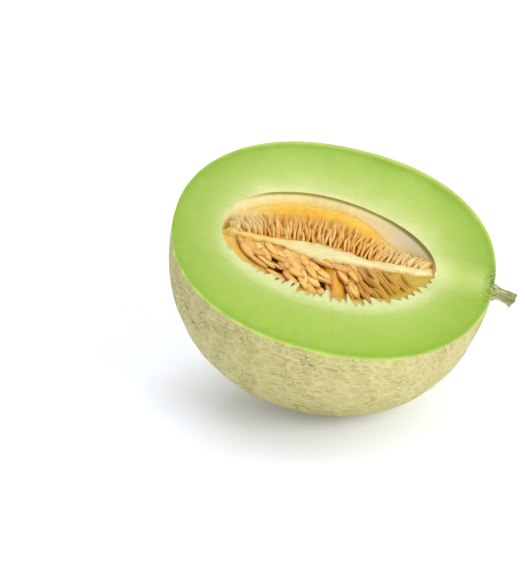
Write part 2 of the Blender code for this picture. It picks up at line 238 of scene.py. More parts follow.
FRUIT = resting_place()
TO_FRUIT = FRUIT.inverted()


# Ways of working

def limited(value):
    """A value held between 0 and 1."""
    return min(1.0, max(0.0, value))


def waver(*place):
    """Smooth noise at a place, about -1 to 1."""
    return noise.noise(Vector(place))


def select_only(*chosen):
    bpy.ops.object.select_all(action="DESELECT")
    for piece in chosen:
        piece.select_set(True)
    bpy.context.view_layer.objects.active = chosen[0]


def start_from(primitive, name, **settings):
    """A new object from one of Blender's own, added with nothing else selected."""
    bpy.ops.object.select_all(action="DESELECT")
    primitive(**settings)
    piece = bpy.context.active_object
    piece.name = name
    return piece


def edit_all(piece, kind):
    """Opens a piece in edit mode with all its vertices, edges or faces selected."""
    select_only(piece)
    bpy.ops.object.mode_set(mode="EDIT")
    bpy.ops.mesh.select_mode(type=kind)
    bpy.ops.mesh.select_all(action="SELECT")


def pick(piece, kind, wanted):
    """Selects the edges or faces that pass a test, in edit mode."""
    bpy.ops.mesh.select_mode(type=kind)
    bpy.ops.mesh.select_all(action="DESELECT")
    mesh = bmesh.from_edit_mesh(piece.data)
    for part in mesh.edges if kind == "EDGE" else mesh.faces:
        if wanted(part):
            part.select_set(True)
    bmesh.update_edit_mesh(piece.data)


def finish_modifier(piece, kind, **settings):
    """Adds a modifier, sets it and applies it."""
    select_only(piece)
    bpy.ops.object.modifier_add(type=kind)
    modifier = piece.modifiers[-1]
    for name, value in settings.items():
        setattr(modifier, name, value)
    bpy.ops.object.modifier_apply(modifier=modifier.name)


def face_outwards(piece):
    edit_all(piece, "VERT")
    bpy.ops.mesh.normals_make_consistent(inside=False)
    bpy.ops.object.mode_set(mode="OBJECT")


def smooth_all(piece, crease=None):
    """Smooth shading, but for edges sharper than a crease in degrees."""
    select_only(piece)
    bpy.ops.object.shade_smooth()
    if crease:
        bpy.ops.object.shade_smooth_by_angle(angle=math.radians(crease))


def seat(piece):
    """Sets a finished piece down where the fruit rests, from the fruit's own frame, on the root body."""
    select_only(piece)
    piece.matrix_world = FRUIT @ piece.matrix_world
    bpy.ops.object.transform_apply(location=True, rotation=True, scale=True)
    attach(piece, "root")


def new_shares(piece, *names):
    """New attributes on a piece's points, which finishes read, each with a share from 0 to 1."""
    for name in names:
        piece.data.attributes.new(name, "FLOAT", "POINT")
    return [piece.data.attributes[name].data for name in names]


# Rind and flesh

def outer_share(point):
    """1 on the skin, 0 in the middle of the fruit."""
    along = point.x / HALF_LENGTH
    girth = 1.0 + STEM_END_SWELL * along
    parts = (along, point.y / (HALF_WIDTH * girth), point.z / (DEPTH * girth))
    return sum(abs(part) ** SQUARENESS for part in parts) ** (1.0 / SQUARENESS)


def cavity_radius(turn, depth):
    """The cavity's radius at an angle round its middle and a depth under the cut face."""
    shrink = math.sqrt(max(0.0, 1.0 - (depth / CAVITY_DEPTH) ** 2))
    along = CAVITY_HALF_LENGTH * math.sin(turn)
    across = CAVITY_HALF_WIDTH * math.cos(turn)
    lean = CAVITY_TO_BLOSSOM * math.cos(turn) + CAVITY_TO_NEAR * math.sin(turn)
    radius = shrink * CAVITY_HALF_LENGTH * CAVITY_HALF_WIDTH / math.hypot(across, along)
    return radius * (1.0 - lean - CAVITY_SKEW * math.sin(2 * turn))


def inside_rim(x, y):
    """How far a place lies inside the cavity's rim, seen square on the cut face."""
    return cavity_radius(math.atan2(y, x), 0.0) - math.hypot(x, y)


def cavity_share(point):
    """1 on the cavity's wall, more in the flesh."""
    turn = math.atan2(point.y, point.x)
    return math.hypot(math.hypot(point.x, point.y) / cavity_radius(turn, 0.0), point.z / CAVITY_DEPTH)


def out_from_middle(turn, radius):
    return radius * math.cos(turn), radius * math.sin(turn)


def near_side(turn):
    return max(0.0, -math.sin(turn)) ** 0.5


def tooth_at(turn):
    """How far flesh reaches into the cavity's mouth, in tooth lengths, uneven from tooth to tooth."""
    place = (turn % math.tau) * TOOTH_COUNT / math.tau
    place += 0.9 * waver(place * 0.55, 3.1, 0.0)
    number, share = math.floor(place), place % 1.0
    lean = 0.5 + 0.35 * waver(number * 1.37, 5.3, 0.0)
    climb = share / lean if share < lean else (1.0 - share) / (1.0 - lean)
    size = min(1.2, max(0.15, 0.72 + 1.10 * waver(number * 0.73, 9.7, 0.0)))
    blossom_fade = min(1.0, (1.0 + math.cos(turn)) / 0.5)
    return near_side(turn) * blossom_fade * math.sin(0.5 * math.pi * climb) ** 0.9 * size


def off_the_skin(face):
    """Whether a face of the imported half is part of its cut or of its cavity."""
    middle = face.calc_center_median()
    on_cut = abs(middle.z) < SAME_POINT
    return on_cut or (outer_share(middle) < SKIN_FROM_SHARE and cavity_share(middle) < 1.1)


def on_open_rim(edge):
    return edge.is_boundary and all(abs(vert.co.z) < 4e-4 for vert in edge.verts)


def netted_skin():
    """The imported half's netted skin alone, made finer, in the fruit's own frame."""
    skin = bpy.data.objects.new("muskmelon_half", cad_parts["fruit_half"].data.copy())
    bpy.context.scene.collection.objects.link(skin)
    skin.data.transform(TO_FRUIT)
    edit_all(skin, "VERT")
    bpy.ops.mesh.remove_doubles(threshold=SAME_POINT)
    pick(skin, "FACE", off_the_skin)
    bpy.ops.mesh.delete(type="FACE")
    bpy.ops.mesh.select_all(action="SELECT")
    bpy.ops.mesh.dissolve_limited(angle_limit=math.radians(5.0))
    bpy.ops.object.mode_set(mode="OBJECT")
    finish_modifier(skin, "SUBSURF", levels=2, render_levels=2)
    return skin


def cut_and_cavity(skin):
    """The flat cut face and the cavity's wall, drawn inwards ring by ring from the skin's open edge."""
    edit_all(skin, "EDGE")
    pick(skin, "EDGE", on_open_rim)
    bpy.ops.mesh.duplicate()
    bpy.ops.mesh.separate(type="SELECTED")
    bpy.ops.object.mode_set(mode="OBJECT")
    inner = next(piece for piece in bpy.context.selected_objects if piece is not skin)
    edit_all(inner, "EDGE")

    def next_ring(place):
        bpy.ops.mesh.extrude_edges_move()
        mesh = bmesh.from_edit_mesh(inner.data)
        for vert in mesh.verts:
            if vert.select:
                vert.co = place(vert.co.copy(), math.atan2(vert.co.y, vert.co.x))
        bmesh.update_edit_mesh(inner.data)

    before = 0.0
    for share in CUT_RINGS:
        step = (share - before) / (1.0 - before)
        before = share

        def across(point, turn, step=step, at_mouth=share > 0.999):
            """A step on from a point towards the cavity's mouth, a little uneven but at the mouth itself."""
            tooth = tooth_at(turn)
            mouth = cavity_radius(turn, 0.0) - TOOTH_LENGTH * tooth
            moved = point.lerp(Vector((*out_from_middle(turn, mouth), 0.0)), step)
            if at_mouth:
                moved.z = -TOOTH_TIP_DROP * near_side(turn) * tooth
            else:
                moved.z = CUT_WAVE * waver(moved.x * 90.0, moved.y * 90.0, 1.7)
            return moved

        next_ring(across)
    for depth in WALL_RINGS:

        def down(_, turn, depth=depth):
            """The cavity's wall at a depth: the teeth fade out, and the far rim overhangs."""
            fade = max(0.0, 1.0 - depth / TOOTH_FADE_DEPTH)
            overhung = math.exp(-(((depth - UNDERCUT_DEPTH) / UNDERCUT_SPREAD) ** 2))
            radius = cavity_radius(turn, depth) - TOOTH_LENGTH * tooth_at(turn) * fade
            radius += UNDERCUT * (1.0 - near_side(turn)) * overhung
            radius += WALL_UNEVENNESS * waver(math.cos(turn) * 4, math.sin(turn) * 4, depth * 90)
            return Vector((*out_from_middle(turn, radius), -depth))

        next_ring(down)
    bpy.ops.mesh.extrude_edges_move()
    bpy.ops.mesh.merge(type="CENTER")
    bpy.ops.object.mode_set(mode="OBJECT")
    return inner


def muskmelon_half():
    """Rind and flesh in one closed piece."""
    skin = netted_skin()
    inner = cut_and_cavity(skin)
    select_only(skin, inner)
    bpy.ops.object.join()
    edit_all(skin, "VERT")
    bpy.ops.mesh.remove_doubles(threshold=2e-6)
    bpy.ops.mesh.normals_make_consistent(inside=False)
    bpy.ops.object.mode_set(mode="OBJECT")
    paint_places(skin)
    roughen_rind(skin)
    skin.data.materials.clear()
    skin.data.materials.append(rind_finish())
    skin.data.materials.append(flesh_finish())
    for face in skin.data.polygons:
        on_rind = outer_share(face.center) > RIND_FACE_SHARE and face.center.z < -0.00012
        by_stem = face.center.x > 0.069 and face.center.z < -0.0003
        face.material_index = 0 if on_rind or by_stem else 1
    smooth_all(skin, crease=50.0)
    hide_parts("fruit_half")
    seat(skin)
    for vert in skin.data.vertices:
        vert.co.z = max(0.0, vert.co.z)


def roughen_rind(piece):
    """Softens the net's lines, most of all at the cut, and lets the rind swell and dip a little there."""
    for vert in piece.data.vertices:
        share = outer_share(vert.co)
        if share < SKIN_FROM_SHARE:
            continue
        by_cut = max(0.0, 1.0 + vert.co.z / NET_SOFT_BAND)
        whole = min(1.0, (share - SKIN_FROM_SHARE) / SKIN_SHARE_FADE)
        softer = (NET_SOFTENED + NET_SOFTENED_AT_CUT * by_cut) * (1.0 - share) * whole * vert.co.length
        rough = RIND_SWELL * noise.noise(vert.co * 45.0) + RIND_ROUGHNESS * noise.noise(vert.co * 620.0)
        vert.co += vert.co.normalized() * (softer + limited(-vert.co.z / ROUGH_FROM_CUT) * rough)


def paint_places(piece):
    """What the finishes read: the net's lines, the share across the flesh, and the wall above the gel."""
    net, across, by_gel = new_shares(piece, "net", "across", "by_gel")
    for vert in piece.data.vertices:
        above = vert.co.z - pulp_height(vert.co.x, vert.co.y) - FAR_CLIMB
        by_gel[vert.index].value = limited(1.0 - above / STAIN_HEIGHT) * (vert.co.y > 0.0)
        under = (1.0 - outer_share(vert.co)) * HALF_LENGTH
        net[vert.index].value = limited(1.0 - (under - NET_TOP_DEPTH) / NET_FADE)
        to_wall = max(0.0, (cavity_share(vert.co) - 1.0) * CAVITY_HALF_WIDTH)
        across[vert.index].value = under / max(1e-6, under + to_wall)


# The pulp and its core

def core_middle(x):
    """The line that the pale core follows: it swings to the far side at the stem end."""
    return CORE_MIDDLE + CORE_RISE_AT_STEM * max(0.0, x / CAVITY_HALF_LENGTH) ** 3


def core_half_width(x):
    swell = math.exp(-(((x - CORE_WIDEST) / CORE_SWELL_LENGTH) ** 2))
    return CORE_END_HALF_WIDTH + (CORE_HALF_WIDTH - CORE_END_HALF_WIDTH) * swell


def pulp_height(x, y):
    """The top of what fills the cavity: a crest along the core, sloping to the near rim and the far wall."""
    half_width = CAVITY_HALF_WIDTH * math.sqrt(max(0.0, 1.0 - (x / CAVITY_HALF_LENGTH) ** 2))
    middle = core_middle(x)
    half = core_half_width(x)
    if y > middle + half:
        width = half_width * (1.0 - CAVITY_TO_NEAR) - middle - half
        share = min(1.0, (y - middle - half) / max(NARROWEST_SLOPE, width))
        dip = 1.0 + FAR_DIP * math.exp(-(((x - FAR_DIP_PLACE) / FAR_DIP_LENGTH) ** 2))
        return CREST_HEIGHT - FAR_DROP * dip * share**1.5
    width = half_width * (1.0 + CAVITY_TO_NEAR) + middle - half
    share = limited((middle - half - y) / max(NARROWEST_SLOPE, width))
    return CREST_HEIGHT - NEAR_DROP * share**1.6


def off_patch(x, y):
    """How far a point is from the middle line of the near side's clear patch of gel."""
    return abs(x - GEL_PATCH + GEL_PATCH_LEAN * y)


def gel_height(x, y, far):
    """The gel's own surface: below the seeds, and up along the core and at the cavity's wall."""
    beside = abs(y - core_middle(x)) - core_half_width(x)
    drop = FAR_GEL_UNDER_SEEDS if far else NEAR_GEL_UNDER_SEEDS
    drop *= 0.35 + 0.65 * min(1.0, abs(beside) / GEL_HIGH_BY_CORE)
    height = pulp_height(x, y)
    to_rim = inside_rim(x, y)
    if far:
        climb = FAR_CLIMB * max(0.0, 1.0 - to_rim / FAR_CLIMB_WIDTH) ** 2
        height -= drop * (1.0 - limited((beside - FAR_SEEDS_END) / FAR_SEEDS_FADE)) - climb
        return min(height, FAR_GEL_STEEPEST * to_rim + FAR_GEL_AT_RIM)
    drop *= 1.0 - 0.75 * max(0.0, 1.0 - (off_patch(x, y) / GEL_PATCH_RISE_HALF) ** 2)
    by_rim = limited((NEAR_RIM_BAND - to_rim) / NEAR_RIM_FADE)
    return (height - drop) * (1.0 - by_rim) + NEAR_GEL_AT_RIM * by_rim


def pulp_side(name, far):
    """The soft pulp on one side of the core: a ball pressed into the cavity, then cut along the core."""
    pulp = start_from(bpy.ops.mesh.primitive_uv_sphere_add, name, segments=144, ring_count=96, radius=1.0)
    inset = FAR_PULP_INSET if far else NEAR_PULP_INSET
    bottom = CAVITY_DEPTH - 2 * inset
    for vert in pulp.data.vertices:
        turn = math.atan2(vert.co.y, vert.co.x)
        polar = math.acos(max(-1.0, min(1.0, vert.co.z)))

        def reach(depth):
            return max(0.0, cavity_radius(turn, max(0.0, depth) * CAVITY_DEPTH / bottom) - inset)

        rim_depth = -gel_height(*out_from_middle(turn, reach(0.0)), far)
        if polar <= math.pi / 2:
            x, y = out_from_middle(turn, reach(rim_depth) * polar / (math.pi / 2))
            vert.co = (x, y, gel_height(x, y, far))
        else:
            depth = rim_depth + (bottom - rim_depth) * math.sin(polar - math.pi / 2)
            vert.co = (*out_from_middle(turn, reach(depth)), -depth)
    edit_all(pulp, "VERT")
    bpy.ops.mesh.remove_doubles(threshold=SAME_POINT)
    bpy.ops.mesh.select_all(action="SELECT")
    side = 1.0 if far else -1.0
    away = (side * math.sin(PARTING_TURN), -side * math.cos(PARTING_TURN), 0.0)
    bpy.ops.mesh.bisect(plane_co=(0.0, PARTING_MIDDLE, 0.0), plane_no=away, use_fill=True, clear_outer=True)
    bpy.ops.object.mode_set(mode="OBJECT")
    finish_modifier(pulp, "REMESH", mode="VOXEL", voxel_size=PULP_VOXEL)
    for vert in pulp.data.vertices:
        x, y, z = vert.co
        near_top = limited((z + LUMPS_DEPTH) / LUMPS_FADE)
        near_top *= 0.25 + 0.75 * limited(inside_rim(x, y) / LUMPS_RIM_WIDTH)
        vert.co.z += near_top * (
            0.0009 * noise.noise(vert.co * 160.0) + 0.0008 * waver(x * 300.0, y * 90.0, z * 150.0)
        )
    mark_rimward(pulp)
    smooth_all(pulp)
    pulp.data.materials.append(far_pulp_finish() if far else near_pulp_finish())
    return pulp


def mark_rimward(piece):
    """Marks how near each point is to the cavity's rim, for the finishes to read."""
    rimward, = new_shares(piece, "rimward")
    for vert in piece.data.vertices:
        rimward[vert.index].value = limited(1.0 - inside_rim(vert.co.x, vert.co.y) / RIMWARD_WIDTH)


def core():
    """The pale cut core: a long lens, fibrous along the fruit and ragged along both edges."""
    ball = bpy.ops.mesh.primitive_uv_sphere_add
    piece = start_from(ball, "cut_core", segments=96, ring_count=64, radius=1.0)
    for vert in piece.data.vertices:
        x = vert.co.x * CORE_HALF_LENGTH - CORE_TO_BLOSSOM
        taper = max(0.05, math.sqrt(max(0.0, 1.0 - vert.co.x**2)))
        slim = 1.08 - 0.40 * limited((-0.014 - x) / 0.012)
        slim *= 1.0 - 0.65 * limited((-0.034 - x) / 0.013) ** 2
        half = core_half_width(x) * slim * math.sqrt(max(0.0, 1.0 - vert.co.x**8))
        y = core_middle(x) + half * max(-1.0, min(1.0, vert.co.y / taper))
        up = vert.co.z / taper
        z = CREST_HEIGHT - CORE_SUNK + (CORE_CROWN if up > 0.0 else CORE_ROOT) * up
        z -= CORE_END_DIP * max(0.0, (abs(x + CORE_TO_BLOSSOM) - CORE_DIP_FROM) / CORE_DIP_LENGTH) ** 2
        vert.co = Vector((x, y, z))
    finish_modifier(piece, "REMESH", mode="VOXEL", voxel_size=CORE_VOXEL)
    edge, = new_shares(piece, "edge")
    for vert in piece.data.vertices:
        x, y, z = vert.co
        beyond = y - core_middle(x)
        edge[vert.index].value = min(1.0, abs(beyond) / core_half_width(x))
        side = 5.0 + (beyond > 0.0)
        wander = 0.0012 * waver(x * 90.0, z * 160.0, side) + 0.0009 * waver(x * 330.0, z * 260.0, side)
        vert.co.y += wander * edge[vert.index].value
        fibres = waver(x * 70.0, y * 420.0, z * 420.0)
        vert.co.z += 0.00035 * fibres + 0.0009 * noise.noise(vert.co * 80.0)
    smooth_all(piece)
    piece.data.materials.append(core_finish())
    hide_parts("placenta_core")
    seat(piece)


# The seeds

def seed_form():
    """One seed, modelled once: a ball drawn out to two points along X, pressed to a round-edged plate."""
    ball = bpy.ops.mesh.primitive_uv_sphere_add
    seed = start_from(ball, "seed_form", segments=12, ring_count=12, radius=1.0)
    margin, = new_shares(seed, "margin")
    for vert in seed.data.vertices:
        side, up, along = vert.co
        ring = max(1e-6, math.hypot(side, up))
        fullness = max(0.0, 1.0 - along**2) ** 0.54
        narrowing = 1.0 - SEED_NARROWING * along
        plate = math.copysign(abs(up / ring) ** 0.7, up)
        margin[vert.index].value = max(abs(side / ring), abs(along))
        vert.co = (
            0.5 * SEED_LENGTH * along,
            0.5 * SEED_WIDTH * fullness * narrowing * side / ring,
            0.5 * SEED_THICKNESS * fullness**0.5 * plate,
        )
    face_outwards(seed)
    smooth_all(seed)
    return seed


def slope_along(x, y, heading):
    """How steeply the pulp's top falls or climbs from a point in a direction."""
    ahead = pulp_height(x + SLOPE_STEP * math.cos(heading), y + SLOPE_STEP * math.sin(heading))
    return (ahead - pulp_height(x, y)) / SLOPE_STEP


def seed_places_far():
    """Seeds stacked edge up like a comb, fanned out from the core in rows."""
    draw = random.Random(11)
    for row, (behind, pitch, sink) in enumerate(FAR_ROWS):
        count = round(2 * CAVITY_HALF_LENGTH / pitch)
        for step in range(count):
            share = 2 * (step + 0.5 + 0.35 * (row % 2) + draw.uniform(-0.25, 0.25)) / count - 1
            x = CAVITY_HALF_LENGTH * share
            y = core_middle(x) + core_half_width(x) + behind * (1.0 - 0.45 * share**2)
            y += draw.uniform(-0.0004 - 0.0018 * (row > 0), 0.0022)
            middle = Vector((x, y, pulp_height(x, y) - sink + draw.uniform(-0.0008, 0.0009)))
            heading = math.pi / 2 - FAR_FAN * share + draw.uniform(-0.17, 0.17)
            if inside_rim(x, y) <= FAR_SEED_MARGIN:
                continue
            climb = 0.55 * slope_along(x, y, heading) + draw.uniform(-0.05, 0.12)
            long_way = Vector((math.cos(heading), math.sin(heading), climb)).normalized()
            face_way = Vector((1.0, 0.0, 0.0)) - long_way * long_way.x
            spin = Matrix.Rotation(math.radians(draw.uniform(-22, 22)), 3, long_way)
            yield middle, long_way, spin @ face_way.normalized()


def near_seed(draw, x, ahead, heading, edge_up, lift, rise):
    """One seed on the near slope, or nothing where it would leave the cavity or lie on the clear patch."""
    y = core_middle(x) - core_half_width(x) - ahead * (1.0 - 0.20 * (x / CAVITY_HALF_LENGTH) ** 2)
    y += draw.uniform(-0.0014, 0.0014)
    if inside_rim(x, y) <= NEAR_SEED_MARGIN or off_patch(x, y) < GEL_PATCH_HALF:
        return
    middle = Vector((x, y, pulp_height(x, y) + lift))
    heading = math.radians(heading)
    slope = slope_along(x, y, heading) + rise
    long_way = Vector((math.cos(heading), math.sin(heading), slope)).normalized()
    level = Vector((0, 0, 1)) - long_way * long_way.z
    yield middle, long_way, Matrix.Rotation(math.radians(edge_up), 3, long_way) @ level.normalized()


def seed_places_near():
    """Seeds over the near slope: tumbled like tiles on the blossom side, and packed edge up by the stem."""
    draw = random.Random(23)
    for row, ahead in enumerate(TILED_ROWS):
        x = -CAVITY_HALF_LENGTH + 0.0022 * (row % 2)
        while x < TILED_END:
            x += TILED_PITCH * draw.uniform(0.7, 1.3)
            lift = draw.uniform(-0.0014, 0.0005)
            rise = draw.uniform(-0.02, 0.30)
            heading = TILED_HEADING + draw.uniform(-28, 28)
            yield from near_seed(draw, x, ahead, heading, draw.uniform(-40, 26), lift, rise)
    for row, ahead in enumerate(PACKED_ROWS):
        x = 0.0013 * (row % 2)
        while x < CAVITY_HALF_LENGTH:
            x += PACKED_PITCH * draw.uniform(0.75, 1.25)
            lift = draw.uniform(-0.0022, -0.0004)
            lift -= PACKED_SINK * max(0.0, x - PACKED_SINK_FROM) / PACKED_SINK_LENGTH
            heading = PACKED_HEADING + PACKED_TURN * limited((x - PACKED_TURN_FROM) / PACKED_TURN_LENGTH)
            heading += draw.uniform(-8, 8)
            edge_up = draw.uniform(-84, -50)
            yield from near_seed(draw, x, ahead, heading, edge_up, lift, draw.uniform(-0.04, 0.16))


def seeds(name, places, form, thickness, finish):
    """Copies of the seed, each with its own mesh and a small difference in size, joined in one piece."""
    draw = random.Random(len(name))
    laid = []
    for middle, long_way, face_way in places:
        side_way = face_way.cross(long_way).normalized()
        turn = Matrix((long_way, side_way, long_way.cross(side_way))).transposed().to_4x4()
        size = Matrix.Diagonal((
            draw.uniform(0.9, 1.06), draw.uniform(0.88, 1.1), thickness * draw.uniform(0.85, 1.1), 1.0,
        ))
        seed = bpy.data.objects.new("seed", form.data.copy())
        bpy.context.scene.collection.objects.link(seed)
        seed.data.transform(Matrix.Translation(middle) @ turn @ size)
        tint, sunk_shade = new_shares(seed, "tint", "sunk_shade")
        shade = draw.random()
        for vert in seed.data.vertices:
            # Each point's depth below the pulp's top, for the painted shade where a seed sinks in.
            under = pulp_height(vert.co.x, vert.co.y) - vert.co.z
            tint[vert.index].value = shade
            sunk_shade[vert.index].value = limited((under - SUNK_FROM) / SUNK_FADE)
        laid.append(seed)
    select_only(*laid)
    bpy.ops.object.join()
    piece = laid[0]
    piece.name = name
    mark_rimward(piece)
    piece.data.materials.append(finish)
    seat(piece)
    return piece


# The stem

def stem():
    """A ribbed stub, drawn out along a bent path from a cylinder, and wider at its dry end."""
    piece = start_from(
        bpy.ops.mesh.primitive_cylinder_add, "stem_stub",
        vertices=STEM_SIDES, radius=1.0, depth=2.0, end_fill_type="NGON",
    )
    bpy.ops.object.mode_set(mode="EDIT")
    pick(piece, "EDGE", lambda edge: abs(edge.verts[0].co.z - edge.verts[1].co.z) > 1.0)
    bpy.ops.mesh.subdivide(number_cuts=STEM_RINGS)
    pick(piece, "FACE", lambda face: abs(face.normal.z) > 0.9)
    bpy.ops.mesh.inset(thickness=0.25)
    bpy.ops.mesh.inset(thickness=0.35)
    bpy.ops.mesh.poke()
    bpy.ops.object.mode_set(mode="OBJECT")
    for vert in piece.data.vertices:
        share = 0.5 + 0.5 * vert.co.z
        turn = math.atan2(vert.co.y, vert.co.x)
        radial = math.hypot(vert.co.x, vert.co.y)
        along = -STEM_ROOT + (STEM_ROOT + STEM_LENGTH) * share
        out = max(0.0, along)
        bend = STEM_BEND * out / STEM_LENGTH
        sag = 0.5 * out * math.sin(bend)
        middle = Vector((HALF_LENGTH + along - sag * bend, 0.0, -STEM_DROP - sag))
        flare = (STEM_FLARE - STEM_RADIUS) * (out / STEM_LENGTH) ** 3
        foot = STEM_FOOT * math.exp(-((along / STEM_FOOT_LENGTH) ** 2))
        rib = 1.0 + STEM_RIB_DEPTH * math.cos(STEM_RIBS * turn) + 0.05 * math.cos(2 * STEM_RIBS * turn)
        rib += 0.10 * waver(math.cos(turn) * 2, math.sin(turn) * 2, along * 160)
        hollow = -STEM_END_HOLLOW * (1.0 - radial) if share > 0.999 else 0.0
        round_about = out_from_middle(turn, (STEM_RADIUS + flare + foot) * rib * radial)
        vert.co = middle + Matrix.Rotation(bend, 3, "Y") @ Vector((hollow, *round_about))
    face_outwards(piece)
    smooth_all(piece, crease=45.0)
    piece.data.materials.append(stem_finish())
    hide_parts("stem")
    seat(piece)


# Tools for the finishes. Colours are as a screen shows them, from 0 to 255

def paint(colour):
    """A screen's colour in the shader's own scale."""
    def linear(value):
        value /= 255.0
        return value / 12.92 if value <= 0.04045 else ((value + 0.055) / 1.055) ** 2.4
    return (*(linear(value) for value in colour), 1.0)


def new_finish(name):
    material = bpy.data.materials.new(name)
    material.use_nodes = True
    return material, material.node_tree, material.node_tree.nodes["Principled BSDF"]


def add(tree, kind, inputs=None, **settings):
    """A new node. Each input is a value, or another node's output to join there."""
    made = tree.nodes.new(kind)
    for name, value in settings.items():
        setattr(made, name, value)
    for name, value in (inputs or {}).items():
        if isinstance(value, bpy.types.NodeSocket):
            tree.links.new(value, made.inputs[name])
        else:
            made.inputs[name].default_value = value
    return made


def fruit_place(tree):
    """Where a point is in the fruit's own frame."""
    mapping = add(tree, "ShaderNodeMapping", {
        "Vector": add(tree, "ShaderNodeTexCoord").outputs["Object"],
        "Location": TO_FRUIT.to_translation(),
        "Rotation": TO_FRUIT.to_3x3().to_euler("XYZ"),
    })
    return mapping.outputs["Vector"]


def part_of(tree, place, axis):
    return add(tree, "ShaderNodeSeparateXYZ", {"Vector": place}).outputs[axis]


def far_from(tree, place, point):
    """How far a place is from a point."""
    return add(tree, "ShaderNodeVectorMath", {0: place, 1: point}, operation="DISTANCE").outputs["Value"]


def stretched(tree, place, scale):
    return add(tree, "ShaderNodeVectorMath", {0: place, 1: scale}, operation="MULTIPLY").outputs[0]


def clouds(tree, place, scale, detail=2.0, roughness=0.5):
    inputs = {"Vector": place, "Scale": scale, "Detail": detail, "Roughness": roughness}
    return add(tree, "ShaderNodeTexNoise", inputs).outputs["Fac"]


def share_of(tree, name):
    """An attribute that a piece's points carry."""
    return add(tree, "ShaderNodeAttribute", attribute_name=name).outputs["Fac"]


def sums(tree, operation, *values):
    return add(tree, "ShaderNodeMath", dict(enumerate(values)), operation=operation).outputs[0]


def times(tree, first, second):
    return sums(tree, "MULTIPLY", first, second)


def ragged(tree, share, cloud, amount):
    """A share whose lines wander with a cloud."""
    return sums(tree, "MULTIPLY_ADD", sums(tree, "SUBTRACT", cloud, 0.5), amount, share)


def span(tree, value, start, end):
    """0 before start, 1 past end, and even between them."""
    return add(tree, "ShaderNodeMapRange", {0: value, 1: start, 2: end}, clamp=True).outputs[0]


def ramp(tree, share, *stops):
    """Colours along a share, as (place, colour) stops."""
    made = add(tree, "ShaderNodeValToRGB", {"Fac": share})
    points = made.color_ramp.elements
    while len(points) < len(stops):
        points.new(0.5)
    for point, (place, colour) in zip(points, stops):
        point.position = place
        point.color = paint(colour)
    return made.outputs["Color"]


def blend(tree, share, first, second):
    """The first colour where a share is 0, and the second where it is 1."""
    return add(tree, "ShaderNodeMix", {0: share, 6: first, 7: second}, data_type="RGBA").outputs[2]


def stains(tree, colour, *marks):
    """A colour drawn towards others in turn. A mark is a share, how strongly it shows, and its colour."""
    for share, strength, towards in marks:
        colour = blend(tree, times(tree, share, strength), colour, paint(towards))
    return colour


def set_surface(tree, shader, colour, roughness):
    tree.links.new(colour, shader.inputs["Base Color"])
    shader.inputs["Roughness"].default_value = roughness


def let_light_in(shader, share, reach, depth):
    """How much light goes into a surface, how far by colour, and how deep."""
    shader.inputs["Subsurface Weight"].default_value = share
    shader.inputs["Subsurface Radius"].default_value = reach
    shader.inputs["Subsurface Scale"].default_value = depth


def relief(tree, shader, height, distance, strength=1.0):
    bump = add(tree, "ShaderNodeBump", {"Height": height, "Distance": distance, "Strength": strength})
    tree.links.new(bump.outputs["Normal"], shader.inputs["Normal"])


def net_lines(tree, place, scale, width):
    """1 along the edges of stretched, wandering cells, 0 inside them."""
    wander = add(tree, "ShaderNodeTexNoise", {"Vector": place, "Scale": 210.0, "Detail": 2.0})
    bent = add(tree, "ShaderNodeVectorMath", {
        0: wander.outputs["Color"], 1: (NET_WANDER,) * 3, 2: place,
    }, operation="MULTIPLY_ADD")
    cells = add(tree, "ShaderNodeTexVoronoi", {
        "Vector": stretched(tree, bent.outputs[0], (NET_STRETCH, 1.0, 1.0)), "Scale": scale,
    }, feature="DISTANCE_TO_EDGE")
    return span(tree, cells.outputs["Distance"], width, 0.3 * width)


# Finishes

def rind_finish():
    """A fine corky net in cream over a khaki skin, streaked along the fruit and green by the stem."""
    material, tree, shader = new_finish("netted_rind")
    place = fruit_place(tree)
    streaks = clouds(tree, stretched(tree, place, (0.13, 1.0, 1.0)), 560.0, 4.0, 0.62)
    grain = clouds(tree, place, 1500.0, 3.0, 0.65)
    ground = ramp(tree, streaks, (0.26, (158, 147, 76)), (0.44, (192, 181, 110)), (0.66, (214, 203, 137)))
    ground = stains(tree, ground, (clouds(tree, place, 38.0), 0.45, (202, 192, 116)))
    cork = ramp(tree, grain, (0.30, (204, 194, 130)), (0.65, (228, 219, 162)))
    broad_net = times(tree, span(tree, share_of(tree, "net"), 0.45, 0.95), 0.55)
    fine_net = times(tree, net_lines(tree, place, 400.0, 0.16), 0.6)
    net = sums(tree, "MAXIMUM", broad_net, fine_net)
    worn = span(tree, clouds(tree, place, 70.0, 3.0), 0.46, 0.64)
    cracks = times(tree, net_lines(tree, place, 460.0, 0.07), worn)
    at_stem = span(tree, far_from(tree, place, (HALF_LENGTH, 0.0, -STEM_DROP)), 0.030, 0.004)
    speckle = span(tree, clouds(tree, place, 520.0, 3.0, 0.6), 0.45, 0.65)
    colour = stains(
        tree, blend(tree, net, ground, cork),
        (cracks, 0.8, (134, 121, 64)),
        (at_stem, 0.7, (158, 172, 78)),
        (at_stem, speckle, (104, 116, 46)),
    )
    set_surface(tree, shader, colour, 0.62)
    let_light_in(shader, 0.08, (1.0, 0.8, 0.4), 0.002)
    height = sums(tree, "ADD", times(tree, grain, 0.35), times(tree, streaks, 0.5))
    relief(tree, shader, sums(tree, "ADD", height, net), 0.0004)
    return material


